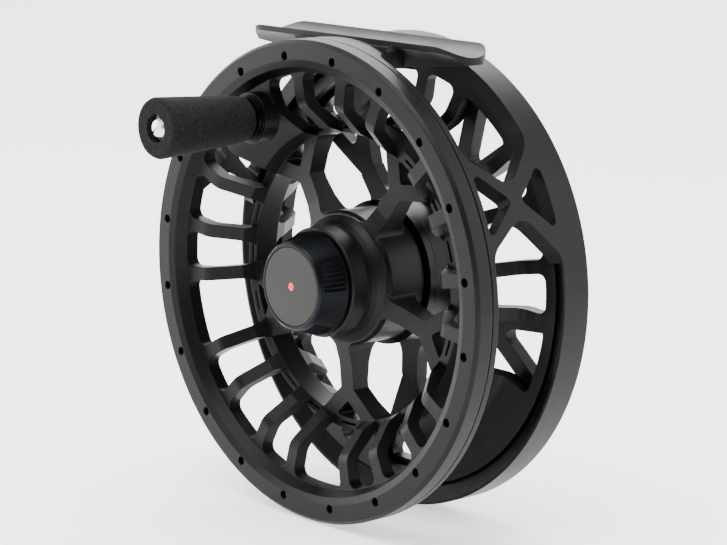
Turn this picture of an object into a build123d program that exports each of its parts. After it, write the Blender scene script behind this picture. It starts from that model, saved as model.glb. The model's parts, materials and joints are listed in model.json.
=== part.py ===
from build123d import *
from math import atan2, cos, degrees, radians, sin, sqrt
import os

# A large-arbor fly reel. Sizes are in millimetres.
#
# Row frame: the origin is the middle of the reel foot's saddle, at its lowest line. +X runs along the
# foot and the rod, +Z points up out of the saddle, and the handle side of the reel faces -Y.
#
# Inside this file the round parts are laid out by two values: their depth, which is the distance
# behind the front face of the spool's rim, and their radius from the spool's axis. Angles are clock
# angles: degrees clockwise from straight up, seen from the handle side.

os.makedirs("parts", exist_ok=True)

# ---------------------------------------------------------------- overall sizes
frame_radius = 50.8          # outside of both frame rings and of the spool's rim
reel_depth = 32.4            # front face of the spool's rim to the back face of the frame
foot_length = 65.0
foot_width = 12.5
foot_corner_share = 0.94     # corner radius of the foot's ends, as a share of half its width
foot_edge_thickness = 1.2
saddle_radius = 10.0         # hollow along the top of the foot, for the rod's reel seat
saddle_sink = 1.8            # lowest line of the saddle below the top of the frame rings

# ---------------------------------------------------------------- clearances
running_clearance = 0.05     # radial, between a shaft and the bore it turns in
seat_clearance = 0.02        # between pieces that are seated in one another
rim_clearance = 0.5          # between the spool's rims and the frame
side_clearance = 0.7         # between the spool's back and the frame's plate
seam = 0.3                   # between pieces that turn face to face

# ---------------------------------------------------------------- frame
ring_front_width = 1.4       # visible width of the front ring
ring_wall = 4.2              # radial thickness of the front ring
ring_chamfer = 1.2
plate_thickness = 3.1
plate_band = 8.2             # radial width of the back plate's outer band
cage_inset = 8.1             # front edge of the back ring ahead of the back face
bridge_half_width = 13.0
web_angle = 64.4             # clock angle of the crossed web on each side
web_waist = 2.9              # half the width of the web where its arms cross
web_hub = 1.2                # half the depth of the web where its arms cross
web_front_reach = 9.8        # half the spread of the web's arms at the front ring
web_rear_reach = 12.2        # half the spread of the web's arms at the back ring
web_triangle = 7.3           # half the width of the small windows between the arms
plate_stem_width = 4.8
plate_leg_width = 3.6
plate_fork_radius = 24.0
plate_leg_spread = 10.0      # degrees from the middle of a spoke to each leg at the ring
plate_window_rounding = 4.0
plate_fork_rounding = 1.4

# ---------------------------------------------------------------- spool
rim_face_width = 5.7
rim_chamfer = 0.7
rim_bevel_width = 1.5
rim_bevel_depth = 0.5
rim_thickness = 2.6
rim_lip_length = 4.0         # the rim's outer lip covers the front edge of the frame
rim_lip_thickness = 1.6
rim_hole_count = 20
rim_hole_radius = 0.95
rim_hole_depth = 1.4
rim_hole_inset = 3.3         # hole circle inside the frame radius
rim_hole_phase = -9.0
flange_front_depth = 2.9     # front face of the front flange
flange_thickness = 3.0
channel_depth = 17.8         # radial depth of the line channel
hoop_wall = 2.4
hoop_front = 11.9
hoop_width = 5.6
cone_rise = 4.4              # radius gained by each flange between the hoop and its bend
rear_flange_thickness = 2.6
window_inset = 7.0           # outer end of the windows inside the frame radius
window_rounding_share = 0.35  # corner radius of the windows, as a share of the narrowest one
bar_width = 2.9
flange_knee = 3.0            # rounding where each flange bends
spoke_count = 5
first_spoke = 36.0
bar_offsets = (-27.0, -12.0, 12.0, 27.0)
spoke_width = 4.0
spoke_leg_width = 3.4
spoke_waist = 4.2            # thickness of a spoke halfway between the hub and the hoop
spoke_window_rounding = 2.4
spoke_fork_rounding = 0.7
fork_inset = 5.6             # fork of each spoke inside the hoop
counterweight_reach = 26.0   # degrees each side of the direction opposite the handle
slit_width = 0.55
slit_span = 8.0              # degrees

# ---------------------------------------------------------------- hub and spindle
hub_radius = 14.3
collar_radius = 11.6
hub_front = 2.6
hub_flare_depth = 6.4
nose_radius = 7.6
nose_length = 3.8
spindle_radius = 3.0
bearing_radius = 6.0
bearing_width = 4.0
bearing_ball_radius = 0.75
bearing_ball_count = 9
clip_thickness = 0.8
hub_web_bore = 4.9

# ---------------------------------------------------------------- drag
housing_depth = 11.7         # front of the housing ahead of the frame's back face
housing_radius = 15.5
housing_wall = 2.3
housing_floor = 2.8
cover_flange = 1.8
cover_spigot = 1.5
washer_thickness = 0.8
rotor_thickness = 0.8
rotor_tube_wall = 1.35
clutch_wall = 0.5
clutch_roller_radius = 0.7
clutch_roller_count = 8
drive_tube_wall = 1.5
hex_across_flats = 13.0
hex_depth = 2.6
push_pin_radius = 1.0
push_pin_circle = 8.0
press_travel = 0.25          # how far the drag knob moves the pressure plate each way
click_count = 24
click_ball_radius = 1.2
seal_wire = 0.3
drag_knob_radius = 14.5
drag_knob_height = 8.5
drag_knob_scallops = 8

# ---------------------------------------------------------------- spool knob and handle
knob_face_radius = 9.2
knob_seam_radius = 11.0
knob_height = 6.8
knob_pad_count = 4
knob_pad_span = 50.0
knob_first_pad = 24.0
knob_ribs_per_panel = 7
badge_radius = 8.2
badge_thickness = 0.8
dot_radius = 0.85
dot_slot_width = 0.22
handle_radius = 37.8         # handle axis from the spool's axis
handle_angle = 330.0
handle_boss_radius = 5.4
grip_length = 23.6
grip_end_radius = 6.4
grip_base_radius = 4.7
grip_end_round = 0.8
post_radius = 1.9
sleeve_wall = 1.0
handle_screw_radius = 2.15
handle_washer_thickness = 0.5

# ---------------------------------------------------------------- places worked out from those sizes
axis_drop = frame_radius - saddle_sink
foot_setback = reel_depth / 2
housing_front = reel_depth - housing_depth
plate_front = reel_depth - plate_thickness
spool_rear = plate_front - side_clearance
ring_front = rim_lip_length + seam
ring_back_of_front = ring_front + ring_front_width
ring_inner = frame_radius - ring_wall
cage_rear = reel_depth - cage_inset
bay_radius = frame_radius - 3.8
rear_rim_radius = bay_radius - rim_clearance
rim_inner = frame_radius - rim_face_width
hoop_outer = frame_radius - channel_depth
hoop_inner = hoop_outer - hoop_wall
hoop_rear = hoop_front + hoop_width
bend_radius = hoop_outer + cone_rise
window_outer = frame_radius - window_inset
rear_flange_front = spool_rear - rear_flange_thickness
fork_radius = hoop_inner - fork_inset
hub_rear = housing_front - 0.4
click_ball_depth = housing_front + 0.35
counterweight_angle = (handle_angle - 6 + 180) % 360
cavity_radius = housing_radius - housing_wall
cavity_floor = reel_depth - housing_floor
clutch_inner = spindle_radius + running_clearance + drive_tube_wall
roller_circle = clutch_inner + running_clearance + clutch_roller_radius
cup_inner = roller_circle + clutch_roller_radius + 0.02
cup_outer = cup_inner + clutch_wall
rotor_bore = cup_outer + seat_clearance
rotor_tube_outer = rotor_bore + rotor_tube_wall
seal_outer = rotor_tube_outer + running_clearance + 2 * seal_wire
click_circle = (seal_outer + cavity_radius) / 2   # dimples on the hub that the click ball drops into

spool_axis = Axis((0, 0, -axis_drop), (0, 1, 0))
profile_plane = Plane(origin=(0, -foot_setback, -axis_drop), x_dir=(0, 1, 0), z_dir=(1, 0, 0))


def face_plane(depth):
    """A plane square to the spool's axis, seen from the handle side. Extruding by a minus goes deeper."""
    return Plane(origin=(0, depth - foot_setback, -axis_drop), x_dir=(1, 0, 0), z_dir=(0, -1, 0))


def clock(radius, angle):
    """Plan position of a point at a radius and a clock angle."""
    return (radius * sin(radians(angle)), radius * cos(radians(angle)))


def turn(points, mode=Mode.ADD, knees=(), knee_radius=0):
    """Revolve a closed outline of (depth, radius) points about the spool's axis; knees are rounded."""
    with BuildSketch(profile_plane) as outline:
        with BuildLine():
            Polyline(*points, close=True)
        make_face()
        for depth, radius in knees:
            corner = outline.vertices().sort_by_distance((depth, radius, 0))[0]
            fillet(corner, knee_radius)
    revolve(outline.sketch, axis=spool_axis, mode=mode)


def ring(front, back, inner, outer, mode=Mode.ADD):
    """A round ring or disc between two depths and two radii."""
    turn([(front, inner), (back, inner), (back, outer), (front, outer)], mode)


def pins(front, back, radius, places, mode=Mode.ADD):
    """Round pins or holes along the axis at a list of plan positions."""
    with BuildSketch(face_plane(front)) as circles:
        with Locations(*places):
            Circle(radius)
    extrude(circles.sketch, amount=front - back, mode=mode)


def around(count, radius, first=0.0):
    """Plan positions evenly spaced on a circle."""
    return [clock(radius, first + 360 * i / count) for i in range(count)]


def balls(depth, radius, places, mode=Mode.ADD):
    """Round balls or dimples centred at one depth."""
    with Locations(*[(x, depth - foot_setback, z - axis_drop) for x, z in places]):
        Sphere(radius, mode=mode)


def soften(window, rounding, inside, outside):
    """Round the corners of a window that lie within one radius or beyond another."""
    with BuildSketch(mode=Mode.PRIVATE) as opening:
        add(window)
        corners = [v for v in opening.vertices() if not inside < sqrt(v.X**2 + v.Y**2) < outside]
        fillet(corners, rounding)
    return opening.sketch


def spoke_windows(hub, fork, rim, stem_width, leg_width, spread, window_rounding, fork_rounding):
    """Sketch the openings left by forked spokes: a wide one between spokes, a small one in each fork."""
    step = 360 / spoke_count
    with BuildSketch(mode=Mode.PRIVATE) as openings:
        Circle(rim)
        Circle(hub, mode=Mode.SUBTRACT)
        for i in range(spoke_count):
            angle = first_spoke + step * i
            with BuildLine() as stem:
                Line(clock(hub - 2, angle), clock(fork, angle))
            trace(stem.line, line_width=stem_width, mode=Mode.SUBTRACT)
            for side in (-1, 1):
                root = clock(fork - 0.5, angle)
                foot_x, foot_y = clock(rim, angle + side * spread)
                with BuildLine() as leg:
                    Line(root, (1.4 * foot_x - 0.4 * root[0], 1.4 * foot_y - 0.4 * root[1]))
                trace(leg.line, line_width=leg_width, mode=Mode.SUBTRACT)
    with BuildSketch(mode=Mode.PRIVATE) as rounded:
        for window in openings.sketch.faces():
            middle = window.center()
            turned = (degrees(atan2(middle.X, middle.Y)) - first_spoke) % step
            in_fork = min(turned, step - turned) < step / 4
            if in_fork:
                add(soften(window, fork_rounding, rim, rim))
            else:
                add(soften(window, window_rounding, hub + 0.5, rim - 0.5))
    return rounded.sketch


def save(part, name):
    """Label a finished piece and write its STEP file."""
    part.label = name
    export_step(part, f"parts/{name}.step")


# ================================================================ frame with its foot
foot_edge_height = saddle_radius - sqrt(saddle_radius**2 - (foot_width / 2) ** 2)
foot_root = -3.5             # underside of the foot where it leaves the bridge
foot_tip = -1.5              # underside of the foot at its ends
foot_rib = 1.4               # half the width of the rib below the foot
half = foot_width / 2
foot_low_edge = foot_edge_height - foot_edge_thickness
pedestal_half_depth = half + 1.2
bridge_angle = 15.5          # clock angle of each side of the bridge
shell_reach = 80.0           # clock angle at which the cage wall ends on each side

with BuildPart() as foot_plan:
    with BuildSketch(Plane.XY.offset(-2 * saddle_radius)):
        RectangleRounded(foot_length, foot_width, foot_corner_share * half)
    extrude(amount=3 * saddle_radius)

with BuildPart() as foot:
    # side of the foot, seen from the handle side: a ridge that thins towards both ends
    with BuildSketch(Plane.XZ.offset(-foot_width)):
        with BuildLine():
            Polyline(
                (-foot_length, foot_edge_height),
                (-foot_length, foot_tip),
                (-foot_length / 2, foot_tip),
                (-bridge_half_width, foot_root),
                (bridge_half_width, foot_root),
                (foot_length / 2, foot_tip),
                (foot_length, foot_tip),
                (foot_length, foot_edge_height),
                close=True,
            )
        make_face()
    extrude(amount=2 * foot_width)
    # end view: thin along both long edges, with a rib below the middle
    with BuildSketch(Plane.YZ.offset(-foot_length)):
        with BuildLine():
            Polyline((-half, foot_low_edge), (-half, foot_edge_height), (half, foot_edge_height),
                     (half, foot_low_edge))
            ThreePointArc((half, foot_low_edge), (0.55 * half, -0.6), (foot_rib, foot_root))
            Line((foot_rib, foot_root), (-foot_rib, foot_root))
            ThreePointArc((-foot_rib, foot_root), (-0.55 * half, -0.6), (-half, foot_low_edge))
        make_face()
    extrude(amount=2 * foot_length, mode=Mode.INTERSECT)
    add(foot_plan.part, mode=Mode.INTERSECT)


def cage_plane(angle):
    """A plane outside the cage wall that faces outwards at a clock angle; local y is the depth."""
    across = (cos(radians(angle)), 0, -sin(radians(angle)))
    outward = (sin(radians(angle)), 0, cos(radians(angle)))
    return Plane(origin=(0, -foot_setback, -axis_drop), x_dir=across, z_dir=outward).offset(
        0.6 * frame_radius
    )


def cage_opening(angle, side, outline):
    """Cut an opening straight in through the cage wall. Corners are (across, depth, rounding)."""
    with BuildSketch(cage_plane(side * angle)) as opening:
        with BuildLine():
            Polyline(*[(side * across, depth) for across, depth, rounding in outline], close=True)
        make_face()
        for across, depth, rounding in outline:
            corner = opening.vertices().sort_by_distance((side * across, depth, 0))[0]
            fillet(corner, rounding)
    extrude(opening.sketch, amount=frame_radius, mode=Mode.SUBTRACT)


with BuildPart() as cage_wall:
    # the wall that joins the two rings, kept only across the top and at the webs
    ring(ring_front, reel_depth - 2 * ring_chamfer, bay_radius, frame_radius)
    with BuildSketch(face_plane(-1)):
        with BuildLine():
            reach = 2 * frame_radius
            Polyline((0, 0), clock(reach, -shell_reach), (-reach, reach), (reach, reach),
                     clock(reach, shell_reach), close=True)
        make_face()
    extrude(amount=-2 * reel_depth, mode=Mode.INTERSECT)
    middle = (ring_back_of_front + cage_rear) / 2
    upper_reach = frame_radius * sin(radians(web_angle - 30))
    bridge_reach = frame_radius * sin(radians(40 - bridge_angle))
    for side in (-1, 1):
        # window between the bridge and the web, cut square at both of its ends
        cage_opening(bridge_angle, side, [
            (0, ring_back_of_front, 4.0), (bridge_reach, ring_back_of_front, 1.0),
            (bridge_reach, cage_rear, 1.0), (0, cage_rear, 4.0),
        ])
        cage_opening(web_angle, side, [
            (-upper_reach, ring_back_of_front, 1.0), (-web_front_reach, ring_back_of_front, 5.5),
            (-web_waist, middle, 3.0), (-web_rear_reach, cage_rear, 5.5), (-upper_reach, cage_rear, 1.0),
        ])
        # open edge below the web
        cage_opening(web_angle, side, [
            (web_waist, middle, 4.0), (web_front_reach, ring_back_of_front, 4.5),
            (3 * web_rear_reach, ring_back_of_front, 1.0), (3 * web_rear_reach, cage_rear, 1.0),
            (web_rear_reach, cage_rear, 4.5),
        ])
        # small triangular windows between the web's arms and the rings
        cage_opening(web_angle, side, [
            (-web_triangle, ring_back_of_front, 1.0), (web_triangle, ring_back_of_front, 1.0),
            (0, middle - web_hub, 1.2),
        ])
        cage_opening(web_angle, side, [
            (-web_triangle, cage_rear, 1.0), (web_triangle, cage_rear, 1.0),
            (0, middle + web_hub, 1.2),
        ])

with BuildPart() as pedestal:
    # waisted pedestal between the bridge and the foot
    with BuildSketch(Plane.XZ.offset(-pedestal_half_depth)):
        with BuildLine():
            flare = bridge_half_width + 1.6
            root = bridge_half_width - 0.8
            Line((-flare, foot_low_edge), (flare, foot_low_edge))
            ThreePointArc((flare, foot_low_edge), (bridge_half_width, -1.0), (root, foot_root))
            Line((root, foot_root), (-root, foot_root))
            ThreePointArc((-root, foot_root), (-bridge_half_width, -1.0), (-flare, foot_low_edge))
        make_face()
    extrude(amount=2 * pedestal_half_depth)
    add(foot.part)

with BuildPart() as back_plate:
    plate_opening = frame_radius - plate_band
    # the plate and, in its middle, the solid drag housing, in one turned outline
    turn([
        (housing_front + cover_flange + seat_clearance, 0),
        (housing_front + cover_flange + seat_clearance, housing_radius),
        (plate_front, housing_radius),
        (plate_front, plate_opening + 2),
        (reel_depth, plate_opening + 2),
        (reel_depth, 0),
    ])
    with BuildSketch(face_plane(plate_front - 1)):
        add(spoke_windows(
            housing_radius + 1.2, plate_fork_radius, plate_opening + 0.4, plate_stem_width,
            plate_leg_width, plate_leg_spread, plate_window_rounding, plate_fork_rounding,
        ))
    extrude(amount=-plate_thickness - 2, mode=Mode.SUBTRACT)

with BuildPart() as frame:
    # back ring, chamfered outside and sloped inside, with the band of the back plate
    turn([
        (cage_rear, frame_radius),
        (reel_depth - ring_chamfer, frame_radius),
        (reel_depth, frame_radius - ring_chamfer),
        (reel_depth, frame_radius - plate_band),
        (plate_front, frame_radius - plate_band),
        (plate_front, bay_radius),
        (cage_rear + 2.3, bay_radius),
        (cage_rear, frame_radius - 0.6),
    ])
    # front ring, with a thin tongue that runs under the spool rim's lip
    turn([
        (ring_front, frame_radius),
        (ring_back_of_front, frame_radius),
        (ring_back_of_front, ring_inner),
        (rim_thickness + rim_clearance, ring_inner),
        (rim_thickness + rim_clearance, frame_radius - rim_lip_thickness - rim_clearance),
        (ring_front, frame_radius - rim_lip_thickness - rim_clearance),
    ])
    add(cage_wall.part)
    add(pedestal.part)
    # saddle along the top of the foot
    with Locations((0, 0, saddle_radius)):
        Cylinder(saddle_radius, 2 * foot_length, rotation=(0, 90, 0), mode=Mode.SUBTRACT)
    # room for the spool
    ring(ring_back_of_front, plate_front, 0, bay_radius, Mode.SUBTRACT)
    # back plate: forked spokes from the drag housing to the ring
    add(back_plate.part)
    # inside of the drag housing
    ring(housing_front, cavity_floor, 0, cavity_radius, Mode.SUBTRACT)
    ring(cavity_floor, reel_depth, 0, spindle_radius + seat_clearance, Mode.SUBTRACT)
    pins(cavity_floor, reel_depth, push_pin_radius + running_clearance,
         around(3, push_pin_circle, 60), Mode.SUBTRACT)
    # threads for the cover screws
    cover_screw_circle = housing_radius - housing_wall / 2
    pins(housing_front, housing_front + 6, 0.7 + seat_clearance,
         around(3, cover_screw_circle, 0), Mode.SUBTRACT)
save(frame.part, "frame")

# ================================================================ spool
front_bend = flange_front_depth + 0.3
spokes = [first_spoke + 360 * i / spoke_count for i in range(spoke_count)]


def windows(skip):
    """Sketch the windows between the bars of one flange, leaving out those that skip names."""
    reach = 3 * frame_radius
    narrowest = radians(bar_offsets[3] - bar_offsets[2]) * hoop_inner - bar_width
    rounding = window_rounding_share * narrowest
    with BuildSketch(mode=Mode.PRIVATE) as openings:
        Circle(window_outer)
        Circle(hoop_inner, mode=Mode.SUBTRACT)
        for spoke in spokes:
            for bar_offset in bar_offsets:
                with BuildLine() as bar:
                    Line(clock(hoop_inner - 3, spoke + bar_offset), clock(window_outer + 3, spoke + bar_offset))
                trace(bar.line, line_width=bar_width, mode=Mode.SUBTRACT)
        for low, high in skip:
            with BuildLine():
                Polyline((0, 0), clock(reach, low), clock(reach, (low + high) / 2), clock(reach, high),
                         close=True)
            make_face(mode=Mode.SUBTRACT)
    with BuildSketch(mode=Mode.PRIVATE) as rounded:
        for window in openings.sketch.faces():
            # shrinking a window and growing it again rounds its corners
            with BuildSketch(mode=Mode.PRIVATE) as opening:
                add(window)
                offset(amount=-rounding)
                offset(amount=rounding)
            add(opening.sketch)
    return rounded.sketch


front_solid = [(handle_angle - 17.5, handle_angle + 8)]
rear_solid = [(counterweight_angle - counterweight_reach, counterweight_angle + counterweight_reach)]

with BuildPart() as front_flange:
    turn([
        (0, rim_inner + rim_bevel_width),
        (0, frame_radius - rim_chamfer),
        (rim_chamfer, frame_radius),
        (rim_lip_length, frame_radius),
        (rim_lip_length, frame_radius - rim_lip_thickness),
        (rim_thickness, frame_radius - rim_lip_thickness),
        (rim_thickness, ring_inner - rim_clearance),
        (flange_front_depth + flange_thickness, ring_inner - rim_clearance - 0.4),
        (flange_front_depth + flange_thickness + 0.2, bend_radius + 0.2),
        (hoop_front + 0.2, hoop_outer),
        (hoop_front + 0.2, hoop_inner),
        (hoop_front - 2.9, hoop_inner + 1.3),
        (front_bend, bend_radius - 0.2),
        (flange_front_depth, window_outer + 0.1),
        (rim_bevel_depth, rim_inner),
    ], knees=[(front_bend, bend_radius - 0.2),
              (flange_front_depth + flange_thickness + 0.2, bend_radius + 0.2)], knee_radius=flange_knee)
    with BuildSketch(face_plane(-1)):
        add(windows(front_solid))
    extrude(amount=-(hoop_front + 1), mode=Mode.SUBTRACT)
    pins(0, rim_hole_depth, rim_hole_radius,
         around(rim_hole_count, frame_radius - rim_hole_inset, rim_hole_phase), Mode.SUBTRACT)

with BuildPart() as rear_flange:
    turn([
        (hoop_rear - 0.2, hoop_outer),
        (rear_flange_front - 0.6, bend_radius + 0.2),
        (rear_flange_front, window_outer - 1),
        (rear_flange_front + 0.1, rear_rim_radius),
        (spool_rear, rear_rim_radius),
        (spool_rear, bend_radius - 0.2),
        (hoop_rear + 3.2, hoop_inner + 1.4),
        (hoop_rear - 0.2, hoop_inner),
    ], knees=[(rear_flange_front - 0.6, bend_radius + 0.2), (spool_rear, bend_radius - 0.2)],
        knee_radius=flange_knee)
    with BuildSketch(face_plane(hoop_rear)):
        add(windows(rear_solid))
    extrude(amount=-(spool_rear - hoop_rear + 1), mode=Mode.SUBTRACT)

with BuildPart() as spoke_disc:
    # forked spokes that leave the hub in a curve and are thinnest halfway to the hoop
    spoke_middle = (hub_radius + hoop_inner) / 2
    spoke_front = hoop_front - 0.6
    spoke_back = spoke_front + spoke_waist
    spoke_reach = hoop_inner + 0.8
    turn([
        (hub_flare_depth + 2.9, hub_radius - 2.0),
        (spoke_front - 1.2, hub_radius + 1.6),
        (spoke_front - 0.4, hub_radius + 4.2),
        (spoke_front, spoke_middle),
        (spoke_front + 0.3, hoop_inner - 3.5),
        (hoop_front + 0.1, spoke_reach),
        (hoop_rear - 0.1, spoke_reach),
        (spoke_back + 0.5, hoop_inner - 3.5),
        (spoke_back, spoke_middle),
        (spoke_back + 0.3, hub_radius + 4.2),
        (spoke_back + 1.1, hub_radius + 1.6),
        (hub_rear - 2.2, hub_radius - 0.8),
        (hub_rear - 2.2, hub_radius - 2.0),
    ])
    with BuildSketch(face_plane(0)):
        add(spoke_windows(
            hub_radius - 0.5, fork_radius, hoop_inner + 0.4, spoke_width, spoke_leg_width,
            bar_offsets[2], spoke_window_rounding, spoke_fork_rounding,
        ))
    extrude(amount=-reel_depth, mode=Mode.SUBTRACT)

with BuildPart() as spool:
    add(front_flange.part)
    add(rear_flange.part)
    ring(hoop_front, hoop_rear, hoop_inner, hoop_outer)
    # narrow slits through the hoop's front edge, one in each window between a spoke's two bars
    slit_radius = (hoop_inner + hoop_outer) / 2
    with BuildSketch(face_plane(hoop_front)):
        for spoke in spokes:
            for start in (spoke - 4, spoke + 15.5, spoke + 32):
                with BuildLine():
                    ThreePointArc(
                        clock(slit_radius, start),
                        clock(slit_radius, start + slit_span / 2),
                        clock(slit_radius, start + slit_span),
                    )
                trace(line_width=slit_width)
    extrude(amount=-2.0, mode=Mode.SUBTRACT)
    add(spoke_disc.part)
    # hub: collar behind the knob, a flare, the barrel, and a nose inside the knob
    turn([
        (hub_front, 0),
        (hub_front, collar_radius - 0.3),
        (hub_front + 0.3, collar_radius),
        (hub_flare_depth, collar_radius + 0.15),
        (hub_flare_depth + 1.0, collar_radius + 0.4),
        (hub_flare_depth + 2.0, collar_radius + 0.95),
        (hub_flare_depth + 3.2, hub_radius - 0.75),
        (hub_flare_depth + 4.6, hub_radius),
        (hub_rear - 0.4, hub_radius),
        (hub_rear, hub_radius - 0.4),
        (hub_rear, 0),
    ])
    nose_front = hub_front - nose_length
    ring(nose_front, hub_front, 0, nose_radius)
    # raised boss and web for the handle
    handle_plan = clock(handle_radius, handle_angle)
    boss_front = 0.1
    pins(boss_front, flange_front_depth + 1, handle_boss_radius, [handle_plan])
    # bores: front bearing and its clip, waist, rear bearing, and the hexagon for the drive hub
    bearing_front = hub_front + clip_thickness
    bearing_back = bearing_front + bearing_width
    hex_front = hub_rear - hex_depth - clip_thickness
    rear_bearing_front = hex_front - bearing_width
    ring(nose_front, bearing_back, 0, bearing_radius + seat_clearance, Mode.SUBTRACT)
    ring(hub_front, bearing_front, 0, bearing_radius + 0.5, Mode.SUBTRACT)
    ring(bearing_back, rear_bearing_front, 0, hub_web_bore, Mode.SUBTRACT)
    ring(rear_bearing_front, hub_rear, 0, bearing_radius + seat_clearance, Mode.SUBTRACT)
    with BuildSketch(face_plane(hex_front)):
        RegularPolygon(hex_across_flats / 2 + running_clearance, 6, major_radius=False)
    extrude(amount=hex_front - hub_rear, mode=Mode.SUBTRACT)
    # ring of click dimples on the hub's back face
    balls(click_ball_depth, click_ball_radius + 0.08, around(click_count, click_circle), Mode.SUBTRACT)
    # hole for the handle post
    pins(boss_front, flange_front_depth + flange_thickness + 2, post_radius + seat_clearance,
         [handle_plan], Mode.SUBTRACT)
save(spool.part, "spool")

# ================================================================ spindle
spindle_front = nose_front + 0.4
flange_depth = cavity_floor - 1.2
spindle_end = reel_depth + 7.2
latch_depth = (spindle_front + bearing_front) / 2
latch_thickness = 0.6
nut_height = 2.0
stud_radius = 2.5
with BuildPart() as spindle:
    ring(spindle_front, reel_depth + nut_height + 0.4, 0, spindle_radius)
    ring(flange_depth, cavity_floor, 0, 5.6)
    ring(reel_depth + nut_height, spindle_end, 0, stud_radius)
    # groove that the spool's latch drops into, and a lead-in at the front end
    ring(latch_depth - 0.5, latch_depth + 0.5, spindle_radius - 0.7, spindle_radius + 1, Mode.SUBTRACT)
    turn([(spindle_front, spindle_radius - 0.6), (spindle_front + 0.6, spindle_radius),
          (spindle_front + 0.6, spindle_radius + 1), (spindle_front, spindle_radius + 1)], Mode.SUBTRACT)
save(spindle.part, "spindle")

with BuildPart() as spindle_nut:
    with BuildSketch(face_plane(reel_depth)):
        RegularPolygon(4.8, 6, major_radius=False)
        Circle(spindle_radius + seat_clearance, mode=Mode.SUBTRACT)
    extrude(amount=-nut_height)
save(spindle_nut.part, "spindle_nut")

# ================================================================ bearings, spacer, clip and latch


def ball_bearing(front):
    """Inner ring, outer ring and balls of a deep-groove bearing, as separate solids."""
    back = front + bearing_width
    inner = spindle_radius + running_clearance
    race_gap = (bearing_radius - inner) / 2
    pitch = inner + race_gap
    centre = (front + back) / 2
    with BuildPart() as bearing:
        ring(front, back, inner, pitch - 0.4)
        ring(front, back, pitch + 0.4, bearing_radius)
        with BuildSketch(profile_plane):
            with Locations((centre, pitch)):
                Circle(bearing_ball_radius + 0.02)
        revolve(axis=spool_axis, mode=Mode.SUBTRACT)
        balls(centre, bearing_ball_radius, around(bearing_ball_count, pitch))
    return bearing.part


save(ball_bearing(bearing_front), "front_bearing")
save(ball_bearing(rear_bearing_front), "rear_bearing")

with BuildPart() as bearing_spacer:
    ring(bearing_back + seat_clearance, rear_bearing_front - seat_clearance,
         spindle_radius + running_clearance, hub_web_bore - 0.5)
save(bearing_spacer.part, "bearing_spacer")

with BuildPart() as bearing_clip:
    ring(hub_front + seat_clearance, bearing_front - seat_clearance, bearing_radius - 1.2,
         bearing_radius + 0.4)
    with BuildSketch(face_plane(hub_front - 1)):
        with Locations((0, bearing_radius)):
            Rectangle(2.4, 6)
    extrude(amount=-3, mode=Mode.SUBTRACT)
save(bearing_clip.part, "bearing_clip")

with BuildPart() as spool_latch:
    ring(latch_depth - latch_thickness / 2, latch_depth + latch_thickness / 2,
         spindle_radius - 0.7 + 0.1, bearing_radius - 0.1)
    with BuildSketch(face_plane(latch_depth - 1)):
        with Locations((0, -bearing_radius)):
            Rectangle(3.0, bearing_radius)
    extrude(amount=-2, mode=Mode.SUBTRACT)
save(spool_latch.part, "spool_latch")

# ================================================================ spool knob with badge
knob_back = hub_front - seam
knob_front = knob_back - knob_height
with BuildPart() as knob_ribs:
    # shallow flutes between the smooth pads
    pad_pitch = 360 / knob_pad_count
    panel = pad_pitch - knob_pad_span
    rib_pitch = panel / knob_ribs_per_panel
    for pad in range(knob_pad_count):
        panel_start = knob_first_pad + pad * pad_pitch + knob_pad_span / 2
        for rib in range(knob_ribs_per_panel):
            angle = panel_start + (rib + 0.5) * rib_pitch
            with BuildSketch(face_plane(knob_front + 1.2)):
                with Locations(clock(knob_face_radius + 0.14, angle)):
                    Circle(0.5)
            with BuildSketch(face_plane(knob_back - 0.9)):
                with Locations(clock(knob_seam_radius - 0.1, angle)):
                    Circle(0.5)
            loft()

with BuildPart() as spool_knob:
    turn([
        (knob_front, 0),
        (knob_front, knob_face_radius - 0.4),
        (knob_front + 0.4, knob_face_radius),
        (knob_back - 0.5, knob_seam_radius),
        (knob_back, knob_seam_radius - 0.3),
        (knob_back, 0),
    ])
    add(knob_ribs.part, mode=Mode.SUBTRACT)
    # recess for the badge, and the cavity that turns on the hub's nose
    ring(knob_front, knob_front + badge_thickness, 0, badge_radius + 0.15, Mode.SUBTRACT)
    ring(nose_front - seam, knob_back, 0, nose_radius + running_clearance, Mode.SUBTRACT)
save(spool_knob.part, "spool_knob")

with BuildPart() as knob_badge:
    ring(knob_front + 0.05, knob_front + badge_thickness, 0, badge_radius)
    ring(knob_front, knob_front + 0.4, 0, dot_radius, Mode.SUBTRACT)
save(knob_badge.part, "knob_badge")

with BuildPart() as badge_dot:
    ring(knob_front + 0.07, knob_front + 0.4, 0, dot_radius - seat_clearance)
    # fine slot across the dot
    with BuildSketch(face_plane(knob_front)):
        Rectangle(3 * dot_radius, dot_slot_width, rotation=-30)
    extrude(amount=-0.2, mode=Mode.SUBTRACT)
save(badge_dot.part, "badge_dot")

# ================================================================ handle
washer_back = boss_front - 0.05
grip_back = washer_back - 2 * (handle_washer_thickness + 0.1) - 0.1
grip_front = grip_back - grip_length
sleeve_radius = post_radius + running_clearance + sleeve_wall
post_front = grip_front + 2.0
handle_origin = (handle_plan[0], 0, handle_plan[1] - axis_drop)
handle_axis = Axis(handle_origin, (0, 1, 0))
handle_profile = Plane(
    origin=(handle_plan[0], -foot_setback, handle_plan[1] - axis_drop), x_dir=(0, 1, 0), z_dir=(1, 0, 0)
)


def handle_turn(points, mode=Mode.ADD):
    """Revolve a closed outline of (depth, radius) points about the handle's axis."""
    with BuildSketch(handle_profile) as outline:
        with BuildLine():
            Polyline(*points, close=True)
        make_face()
    revolve(outline.sketch, axis=handle_axis, mode=mode)


def handle_ring(front, back, inner, outer, mode=Mode.ADD):
    """A ring or disc about the handle's axis."""
    handle_turn([(front, inner), (back, inner), (back, outer), (front, outer)], mode)


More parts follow.
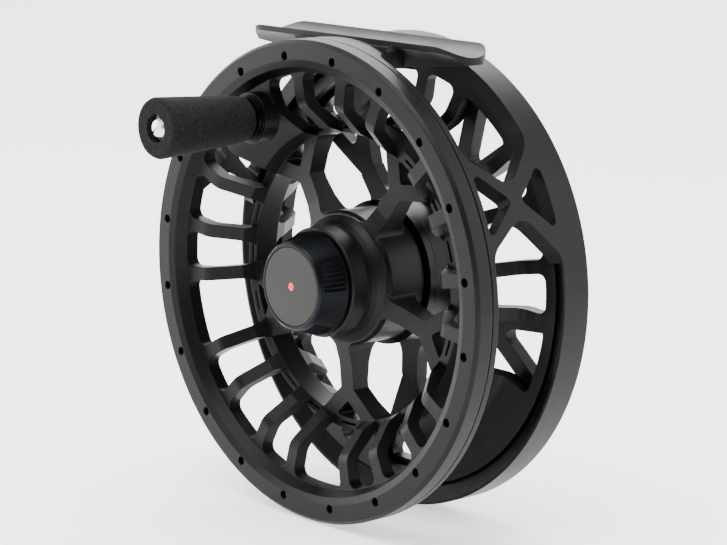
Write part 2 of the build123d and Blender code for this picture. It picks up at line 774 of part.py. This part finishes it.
with BuildPart() as handle_grip:
    handle_turn([
        (grip_front, sleeve_radius + seat_clearance),
        (grip_front, grip_end_radius - grip_end_round),
        (grip_front + grip_end_round * 0.3, grip_end_radius - grip_end_round * 0.3),
        (grip_front + grip_end_round, grip_end_radius),
        (grip_back - 4.5, grip_base_radius + 0.55),
        (grip_back - 0.8, grip_base_radius),
        (grip_back, grip_base_radius - 0.7),
        (grip_back, sleeve_radius + seat_clearance),
    ])
save(handle_grip.part, "handle_grip")

with BuildPart() as handle_sleeve:
    handle_ring(post_front + 0.05, grip_back, post_radius + running_clearance, sleeve_radius)
save(handle_sleeve.part, "handle_sleeve")

with BuildPart() as handle_washers:
    for step in range(2):
        back = washer_back - step * (handle_washer_thickness + 0.1)
        handle_ring(back - handle_washer_thickness, back, post_radius + running_clearance,
                    handle_boss_radius - 0.3 - 0.3 * step)
save(handle_washers.part, "handle_washers")

with BuildPart() as handle_post:
    handle_ring(post_front, flange_front_depth + flange_thickness, 0, post_radius)
    handle_ring(post_front, post_front + 9, 0, 1.0 + seat_clearance, Mode.SUBTRACT)
save(handle_post.part, "handle_post")

with BuildPart() as handle_end_washer:
    handle_ring(post_front - 0.3, post_front - 0.02, 1.0 + seat_clearance, sleeve_radius - 0.35)
save(handle_end_washer.part, "handle_end_washer")

with BuildPart() as handle_screw:
    head_back = post_front - 0.32
    handle_turn([
        (head_back, 0),
        (head_back, handle_screw_radius),
        (head_back - 0.9, handle_screw_radius),
        (head_back - 1.3, handle_screw_radius - 0.5),
        (head_back - 1.4, 0),
    ])
    handle_ring(head_back, head_back + 8, 0, 1.0)
    # driver slot across the head
    slot_plane = Plane(
        origin=(handle_plan[0], head_back - 1.5 - foot_setback, handle_plan[1] - axis_drop),
        x_dir=(cos(radians(38)), 0, sin(radians(38))), z_dir=(0, -1, 0),
    )
    with BuildSketch(slot_plane):
        Rectangle(3 * handle_screw_radius, 0.6)
    extrude(amount=-0.75, mode=Mode.SUBTRACT)
save(handle_screw.part, "handle_screw")

# ================================================================ drag inside the housing
cover_back = housing_front + cover_flange + cover_spigot
disc_radius = cavity_radius - 0.5

with BuildPart() as housing_cover:
    ring(housing_front, housing_front + cover_flange, 0, housing_radius)
    ring(housing_front, cover_back, 0, cavity_radius - seat_clearance)
    ring(housing_front, cover_back, 0, rotor_tube_outer + seam + 0.05, Mode.SUBTRACT)
    seal_depth = housing_front + 2.0
    ring(seal_depth - seal_wire - 0.03, seal_depth + seal_wire + 0.03, 0,
         seal_outer + 0.03, Mode.SUBTRACT)
    for x, z in around(3, cover_screw_circle, 0):
        with BuildSketch(face_plane(housing_front)):
            with Locations((x, z)):
                Circle(0.7 + seat_clearance)
        extrude(amount=-cover_flange, mode=Mode.SUBTRACT)
        with BuildSketch(face_plane(housing_front)):
            with Locations((x, z)):
                Circle(1.05 + seat_clearance)
        extrude(amount=-0.7, mode=Mode.SUBTRACT)
    pins(housing_front, cover_back - 0.4, click_ball_radius + running_clearance,
         [clock(click_circle, 90)], Mode.SUBTRACT)
save(housing_cover.part, "housing_cover")

with BuildPart() as cover_screws:
    pins(housing_front + 0.02, housing_front + 0.68, 1.05, around(3, cover_screw_circle, 0))
    pins(housing_front + 0.6, housing_front + 5.8, 0.7, around(3, cover_screw_circle, 0))
    pins(housing_front, housing_front + 0.4, 0.4, around(3, cover_screw_circle, 0), Mode.SUBTRACT)
save(cover_screws.part, "cover_screws")

with BuildPart() as housing_seal:
    with BuildSketch(profile_plane):
        with Locations((seal_depth, rotor_tube_outer + running_clearance + seal_wire)):
            Circle(seal_wire)
    revolve(axis=spool_axis)
save(housing_seal.part, "housing_seal")

front_washer_front = cover_back + 0.05
rotor_disc_front = front_washer_front + washer_thickness + 0.05
rear_washer_front = rotor_disc_front + rotor_thickness + 0.05
backing_front = rear_washer_front + washer_thickness + 0.05
rotor_front = housing_front

with BuildPart() as front_drag_washer:
    ring(front_washer_front, front_washer_front + washer_thickness, rotor_tube_outer + seam + 0.05, disc_radius)
save(front_drag_washer.part, "front_drag_washer")

with BuildPart() as drag_rotor:
    ring(rotor_disc_front, rotor_disc_front + rotor_thickness, rotor_bore, disc_radius)
    ring(rotor_front, rotor_disc_front + rotor_thickness, rotor_bore, rotor_tube_outer)
save(drag_rotor.part, "drag_rotor")

with BuildPart() as rear_drag_washer:
    ring(rear_washer_front, rear_washer_front + washer_thickness, rotor_tube_outer + seam + 0.05, disc_radius)
save(rear_drag_washer.part, "rear_drag_washer")

with BuildPart() as backing_plate:
    ring(backing_front, backing_front + 0.5, rotor_bore + 0.3, disc_radius)
save(backing_plate.part, "backing_plate")

with BuildPart() as spring_washers:
    # two coned washers, mouth to mouth
    spring_front = backing_front + 0.55
    cone_height = 0.3
    sheet = 0.22
    inner_edge = rotor_bore + 0.5
    outer_edge = disc_radius - 0.4
    turn([(spring_front + cone_height, inner_edge), (spring_front + cone_height + sheet, inner_edge),
          (spring_front + sheet, outer_edge), (spring_front, outer_edge)])
    second = spring_front + cone_height + sheet + 0.03
    turn([(second, inner_edge), (second + sheet, inner_edge),
          (second + cone_height + sheet, outer_edge), (second + cone_height, outer_edge)])
    spring_back = second + cone_height + sheet
save(spring_washers.part, "spring_washers")

with BuildPart() as pressure_plate:
    plate_gap = press_travel + 0.05
    press_front = spring_back + plate_gap
    press_back = cavity_floor - plate_gap
    ring(press_front, press_back, 6.2, disc_radius)
save(pressure_plate.part, "pressure_plate")

pin_back = reel_depth + 0.6
with BuildPart() as push_pins:
    pins(press_back, pin_back, push_pin_radius, around(3, push_pin_circle, 60))
save(push_pins.part, "push_pins")

with BuildPart() as thrust_washer:
    ring(pin_back, pin_back + 0.7, push_pin_circle - 1.5, push_pin_circle + 1.5)
save(thrust_washer.part, "thrust_washer")

clutch_back = rotor_disc_front + rotor_thickness
with BuildPart() as clutch_cup:
    ring(rotor_front + 0.1, clutch_back, cup_inner, cup_outer)
save(clutch_cup.part, "clutch_cup")

with BuildPart() as clutch_rollers:
    pins(rotor_front + 0.5, clutch_back - 0.4, clutch_roller_radius,
         around(clutch_roller_count, roller_circle))
save(clutch_rollers.part, "clutch_rollers")

with BuildPart() as drive_hub:
    ring(hex_front + seat_clearance, flange_depth - seam, 0, clutch_inner)
    with BuildSketch(face_plane(hex_front + seat_clearance)):
        RegularPolygon(hex_across_flats / 2, 6, major_radius=False)
    extrude(amount=-hex_depth)
    ring(hex_front, flange_depth, 0, spindle_radius + running_clearance, Mode.SUBTRACT)
save(drive_hub.part, "drive_hub")


def coil(front, back, radius, wire, place, turns):
    """A small compression spring along the axis at a plan position."""
    x, z = place
    pitch = (back - front - 2 * wire) / turns
    path = Helix(pitch, back - front - 2 * wire, radius,
                 center=(x, front + wire - foot_setback, z - axis_drop), direction=(0, 1, 0))
    with BuildPart() as spring:
        with BuildLine():
            add(path)
        with BuildSketch(Plane(origin=path @ 0, z_dir=path % 0)):
            Circle(wire)
        sweep()
    return spring.part


with BuildPart() as spool_click_ball:
    balls(click_ball_depth, click_ball_radius, [clock(click_circle, 90)])
save(spool_click_ball.part, "spool_click_ball")
save(coil(click_ball_depth + click_ball_radius + 0.55, cover_back - 0.42, 0.75, 0.12,
          clock(click_circle, 90), 1.5), "spool_click_spring")

# ================================================================ drag knob
drag_knob_front = reel_depth + 0.6
drag_knob_back = drag_knob_front + drag_knob_height
with BuildPart() as drag_knob:
    turn([
        (drag_knob_front, 0),
        (drag_knob_front, drag_knob_radius - 0.3),
        (drag_knob_front + 0.3, drag_knob_radius),
        (drag_knob_back - 1.4, drag_knob_radius - 0.7),
        (drag_knob_back, drag_knob_radius - 2.1),
        (drag_knob_back, 0),
    ])
    # finger scallops around the edge
    with BuildSketch(face_plane(drag_knob_front + 1.6)):
        with Locations(*around(drag_knob_scallops, drag_knob_radius + 3.4)):
            Circle(4.6)
    extrude(amount=-drag_knob_height, mode=Mode.SUBTRACT)
    # space for the spindle nut and thrust washer, and the seat of the threaded insert
    ring(drag_knob_front, reel_depth + nut_height + 0.5, 0, push_pin_circle + 2, Mode.SUBTRACT)
    ring(drag_knob_front, drag_knob_back, 0, 4.5 + seat_clearance, Mode.SUBTRACT)
    ring(drag_knob_back - 1.0, drag_knob_back, 0, 8.0 + seat_clearance, Mode.SUBTRACT)
save(drag_knob.part, "drag_knob")

with BuildPart() as drag_knob_insert:
    insert_front = reel_depth + nut_height + 1.0
    ring(insert_front, drag_knob_back - 1.05, stud_radius + running_clearance, 4.5)
save(drag_knob_insert.part, "drag_knob_insert")

with BuildPart() as drag_knob_cap:
    ring(drag_knob_back - 0.95, drag_knob_back - 0.1, 0, 8.0)
save(drag_knob_cap.part, "drag_knob_cap")

with BuildPart() as drag_press_ring:
    # ring screwed into the knob that carries its push to the thrust washer
    ring(pin_back + 0.7 + 0.02, reel_depth + nut_height + 0.5 - 0.02, push_pin_circle - 1.2,
         push_pin_circle + 1.9)
save(drag_press_ring.part, "drag_press_ring")
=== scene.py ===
import json
import math

import bpy
from mathutils import Euler, Matrix, Vector


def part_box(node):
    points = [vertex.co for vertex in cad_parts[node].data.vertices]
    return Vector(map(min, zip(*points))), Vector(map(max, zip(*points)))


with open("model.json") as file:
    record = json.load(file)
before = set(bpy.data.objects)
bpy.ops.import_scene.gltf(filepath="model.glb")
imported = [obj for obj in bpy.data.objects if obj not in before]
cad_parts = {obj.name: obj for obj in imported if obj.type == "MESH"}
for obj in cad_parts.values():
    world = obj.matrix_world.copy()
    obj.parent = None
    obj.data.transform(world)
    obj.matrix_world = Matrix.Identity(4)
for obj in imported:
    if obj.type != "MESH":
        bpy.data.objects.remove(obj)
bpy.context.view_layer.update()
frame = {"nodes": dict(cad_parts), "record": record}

MM = 0.001

# ---------------------------------------------------------------- places, from the frame
spool_low, spool_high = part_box("spool")
frame_low, frame_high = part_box("frame")
spool_axis_z = (spool_low.z + spool_high.z) / 2
spool_axis_x = (spool_low.x + spool_high.x) / 2
handle_low, handle_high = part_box("handle_post")
handle_x = (handle_low.x + handle_high.x) / 2
handle_z = (handle_low.z + handle_high.z) / 2


# ---------------------------------------------------------------- small helpers for materials
def new_material(name):
    """An empty node material with its Principled shader and its node tree."""
    material = bpy.data.materials.new(name)
    material.use_nodes = True
    tree = material.node_tree
    shader = tree.nodes["Principled BSDF"]
    return material, tree, shader


def node(tree, kind, inputs=None, **settings):
    """Add a node, with its settings and the values of its inputs."""
    made = tree.nodes.new(kind)
    for key, value in settings.items():
        setattr(made, key, value)
    for key, value in (inputs or {}).items():
        made.inputs[key].default_value = value
    return made


def object_space(tree, stretch=(1, 1, 1)):
    """Coordinates fixed to the object, in metres, stretched along each axis."""
    where = node(tree, "ShaderNodeTexCoord")
    scale = node(tree, "ShaderNodeMapping", {"Scale": stretch})
    tree.links.new(where.outputs["Object"], scale.inputs["Vector"])
    return scale.outputs["Vector"]


def noise(tree, vector, scale, detail=3.0, roughness=0.5):
    """Fractal noise; scale is in cells per metre."""
    made = node(tree, "ShaderNodeTexNoise", {"Scale": scale, "Detail": detail, "Roughness": roughness})
    tree.links.new(vector, made.inputs["Vector"])
    return made.outputs["Fac"]


def remap(tree, value, low, high, new_low, new_high):
    """Clamp and scale a value to a new range."""
    made = node(tree, "ShaderNodeMapRange", {
        "From Min": low, "From Max": high, "To Min": new_low, "To Max": new_high,
    })
    tree.links.new(value, made.inputs["Value"])
    return made.outputs["Result"]


def two_tone(tree, value, dark, light):
    """A colour between two tones."""
    ramp = node(tree, "ShaderNodeValToRGB")
    ramp.color_ramp.elements[0].color = (*dark, 1)
    ramp.color_ramp.elements[1].color = (*light, 1)
    tree.links.new(value, ramp.inputs["Fac"])
    return ramp.outputs["Color"]


def bump(tree, height, strength, distance, base=None):
    """A bumped normal, on top of another normal if one is given."""
    made = node(tree, "ShaderNodeBump", {"Strength": strength, "Distance": distance})
    tree.links.new(height, made.inputs["Height"])
    if base is not None:
        tree.links.new(base, made.inputs["Normal"])
    return made.outputs["Normal"]


def soft_edges(tree, radius):
    """The small radius that machining leaves on every edge."""
    return node(tree, "ShaderNodeBevel", {"Radius": radius}, samples=6).outputs["Normal"]


# ---------------------------------------------------------------- materials
def anodised(name, dark, light, roughness, edge=0.25 * MM, grain=9000.0, metallic=0.9):
    """Bead-blasted, anodised aluminium: a fine even grain, faint cloudiness and rounded edges."""
    material, tree, shader = new_material(name)
    place = object_space(tree)
    cloud = noise(tree, place, 90.0, 4.0, 0.6)
    fine = noise(tree, place, grain, 2.0, 0.6)
    mixed = node(tree, "ShaderNodeMath", {1: 0.35}, operation="MULTIPLY_ADD")
    tree.links.new(fine, mixed.inputs[0])
    tree.links.new(cloud, mixed.inputs[2])
    tree.links.new(two_tone(tree, remap(tree, mixed.outputs[0], 0.4, 0.95, 0, 1), dark, light),
                   shader.inputs["Base Color"])
    tree.links.new(remap(tree, cloud, 0.3, 0.7, roughness - 0.04, roughness + 0.05),
                   shader.inputs["Roughness"])
    shader.inputs["Metallic"].default_value = metallic
    tree.links.new(bump(tree, fine, 0.25, 0.02 * MM, soft_edges(tree, edge)), shader.inputs["Normal"])
    return material


def machined(name, colour, roughness, stretch=(1, 1, 1), lines=4000.0, edge=0.08 * MM):
    """Bare turned metal with fine tool lines and small stains."""
    material, tree, shader = new_material(name)
    place = object_space(tree, stretch)
    cut = noise(tree, place, lines, 2.0, 0.7)
    stain = noise(tree, object_space(tree), 400.0, 4.0, 0.6)
    dark = tuple(0.72 * channel for channel in colour)
    tree.links.new(two_tone(tree, remap(tree, stain, 0.35, 0.65, 0, 1), dark, colour),
                   shader.inputs["Base Color"])
    tree.links.new(remap(tree, cut, 0.3, 0.7, roughness - 0.06, roughness + 0.08),
                   shader.inputs["Roughness"])
    shader.inputs["Metallic"].default_value = 1.0
    tree.links.new(bump(tree, cut, 0.2, 0.02 * MM, soft_edges(tree, edge)), shader.inputs["Normal"])
    return material


def foam(name):
    """Dense black EVA foam: fine open cells and slight mottling."""
    material, tree, shader = new_material(name)
    place = object_space(tree)
    cells = node(tree, "ShaderNodeTexVoronoi", {"Scale": 3600.0, "Randomness": 1.0})
    tree.links.new(place, cells.inputs["Vector"])
    mottle = noise(tree, place, 2200.0, 5.0, 0.65)
    tree.links.new(two_tone(tree, remap(tree, mottle, 0.35, 0.7, 0, 1), (0.004, 0.004, 0.004),
                            (0.017, 0.0165, 0.016)), shader.inputs["Base Color"])
    shader.inputs["Roughness"].default_value = 0.95
    shader.inputs["Specular IOR Level"].default_value = 0.12
    rough = bump(tree, mottle, 0.6, 0.08 * MM)
    tree.links.new(bump(tree, cells.outputs["Distance"], 0.6, 0.07 * MM, rough), shader.inputs["Normal"])
    return material


def plastic(name, colour, roughness, coat=0.0, grain=2500.0):
    """Moulded or sintered plastic with a light grain."""
    material, tree, shader = new_material(name)
    place = object_space(tree)
    fine = noise(tree, place, grain, 3.0, 0.6)
    dark = tuple(0.75 * channel for channel in colour)
    tree.links.new(two_tone(tree, remap(tree, fine, 0.35, 0.65, 0, 1), dark, colour),
                   shader.inputs["Base Color"])
    tree.links.new(remap(tree, fine, 0.3, 0.7, roughness - 0.05, roughness + 0.05),
                   shader.inputs["Roughness"])
    shader.inputs["Coat Weight"].default_value = coat
    tree.links.new(bump(tree, fine, 0.15, 0.03 * MM), shader.inputs["Normal"])
    return material


charcoal = anodised("charcoal_anodised", (0.0095, 0.0095, 0.0097), (0.0155, 0.0155, 0.0156), 0.44)
knob_black = anodised("blue_black_anodised", (0.006, 0.0068, 0.0085), (0.0105, 0.012, 0.0145), 0.34, 0.12 * MM)
badge_grey = anodised("badge_satin", (0.026, 0.025, 0.024), (0.038, 0.036, 0.035), 0.45, 0.1 * MM, 5000.0)
red_enamel = plastic("red_enamel", (0.95, 0.055, 0.035), 0.30, 0.4, 1500.0)
black_foam = foam("black_foam")
bright_steel = machined("bright_steel", (0.75, 0.75, 0.76), 0.22, (1, 0.2, 1))
ball_steel = machined("bearing_steel", (0.78, 0.78, 0.80), 0.14)
brass = machined("turned_brass", (0.80, 0.58, 0.25), 0.28)
drag_disc = plastic("drag_composite", (0.05, 0.05, 0.055), 0.7, 0.0, 5000.0)
pale_bearing = plastic("plain_bearing", (0.72, 0.71, 0.66), 0.5)
seal_black = plastic("seal_rubber", (0.015, 0.015, 0.015), 0.6)

by_slot = {
    "anodised_charcoal": charcoal, "anodised_black": knob_black, "badge_grey": badge_grey,
    "red_enamel": red_enamel, "black_foam": black_foam, "bright_steel": bright_steel,
    "bearing_steel": ball_steel, "brass": brass, "drag_composite": drag_disc,
    "plain_bearing": pale_bearing, "seal_rubber": seal_black,
}
slot_of = {part["node"]: part["material_slot"] for part in frame["record"]["subparts"]}


def dress(name):
    """Give a CAD node its material and smooth shading across its round faces."""
    piece = frame["nodes"][name]
    piece.data.materials.clear()
    piece.data.materials.append(by_slot[slot_of[name]])
    for face in piece.data.polygons:
        face.use_smooth = True
    piece.data.set_sharp_from_angle(angle=math.radians(28))


for name in frame["nodes"]:
    dress(name)


# ---------------------------------------------------------------- floor, light and camera
def studio():
    """A pale sweep behind and below the reel, and a soft sky."""
    floor_z = min(frame_low.z, spool_low.z) - 0.2 * MM
    reach, bend = 3.0, 0.6
    outline = [(-reach, floor_z)]
    steps = 24
    for step in range(steps + 1):
        turn = math.radians(90 * step / steps)
        outline.append((1.6 + bend * math.sin(turn), floor_z + bend * (1 - math.cos(turn))))
    outline.append((1.6 + bend, 3.0))
    width = 4.0
    points = [(x, y, z) for y, z in outline for x in (-width, width)]
    faces = [(2 * i, 2 * i + 1, 2 * i + 3, 2 * i + 2) for i in range(len(outline) - 1)]
    sweep_mesh = bpy.data.meshes.new("sweep")
    sweep_mesh.from_pydata(points, [], faces)
    sweep = bpy.data.objects.new("sweep", sweep_mesh)
    bpy.context.scene.collection.objects.link(sweep)
    sweep.rotation_euler = Euler((0, 0, math.radians(48)))
    for face in sweep_mesh.polygons:
        face.use_smooth = True
    material, tree, shader = new_material("pale_paper")
    fine = noise(tree, object_space(tree), 60.0, 4.0, 0.6)
    tree.links.new(two_tone(tree, fine, (0.90, 0.90, 0.90), (0.93, 0.93, 0.93)), shader.inputs["Base Color"])
    shader.inputs["Roughness"].default_value = 0.9
    # a little light of its own, as from a lit white ground
    shader.inputs["Emission Color"].default_value = (1, 1, 1, 1)
    shader.inputs["Emission Strength"].default_value = 1.0
    sweep.data.materials.append(material)

    world = bpy.data.worlds.new("studio")
    bpy.context.scene.world = world
    world.use_nodes = True
    sky = world.node_tree.nodes["Background"]
    sky.inputs["Color"].default_value = (1, 1, 1, 1)
    sky.inputs["Strength"].default_value = 0.60


def soft_box(name, azimuth, elevation, distance, size, power, aim):
    """An area light round the reel; azimuth 0 is on the handle side, 90 to its right."""
    light = bpy.data.lights.new(name, "AREA")
    light.shape = "RECTANGLE"
    light.size, light.size_y = size
    light.energy = power
    holder = bpy.data.objects.new(name, light)
    bpy.context.scene.collection.objects.link(holder)
    turn, rise = math.radians(azimuth), math.radians(elevation)
    out = Vector((math.sin(turn) * math.cos(rise), -math.cos(turn) * math.cos(rise), math.sin(rise)))
    holder.location = aim + out * distance
    holder.rotation_mode = "QUATERNION"
    holder.rotation_quaternion = (-out).to_track_quat("-Z", "Y")


def camera():
    """The photograph's view: a long lens, a little above the reel, from the handle side's right."""
    lens = bpy.data.cameras.new("camera")
    lens.lens = 137.45
    lens.sensor_width = 36.0
    lens.clip_start, lens.clip_end = 0.02, 20.0
    eye = bpy.data.objects.new("camera", lens)
    bpy.context.scene.collection.objects.link(eye)
    azimuth, elevation, roll = math.radians(47.958), math.radians(11.096), math.radians(0.4346)
    aim = Vector((17.491 * MM, -16.2 * MM, -43.908 * MM))
    back = Vector((math.sin(azimuth) * math.cos(elevation), -math.cos(azimuth) * math.cos(elevation),
                   math.sin(elevation)))
    right = Vector((math.cos(azimuth), math.sin(azimuth), 0))
    up = back.cross(right)
    rolled_right = math.cos(roll) * right + math.sin(roll) * up
    rolled_up = -math.sin(roll) * right + math.cos(roll) * up
    turn = Matrix((rolled_right, rolled_up, back)).transposed()
    eye.matrix_world = Matrix.Translation(aim + back * 563.21 * MM) @ turn.to_4x4()
    bpy.context.scene.camera = eye


studio()
middle = Vector((spool_axis_x, (spool_low.y + frame_high.y) / 2, spool_axis_z))
soft_box("top_box", 10, 80, 0.8, (0.6, 0.9), 16.0, middle)
soft_box("left_box", -62, 12, 0.9, (0.35, 0.9), 9.0, middle)
soft_box("right_box", 135, 25, 1.1, (0.5, 0.9), 7.0, middle)
# aimed at the backdrop, from behind the reel
soft_box("backdrop_box", 228, 62, 1.5, (2.0, 2.0), 190.0, middle + Vector((-1.4, 1.3, 0.0)))
camera()
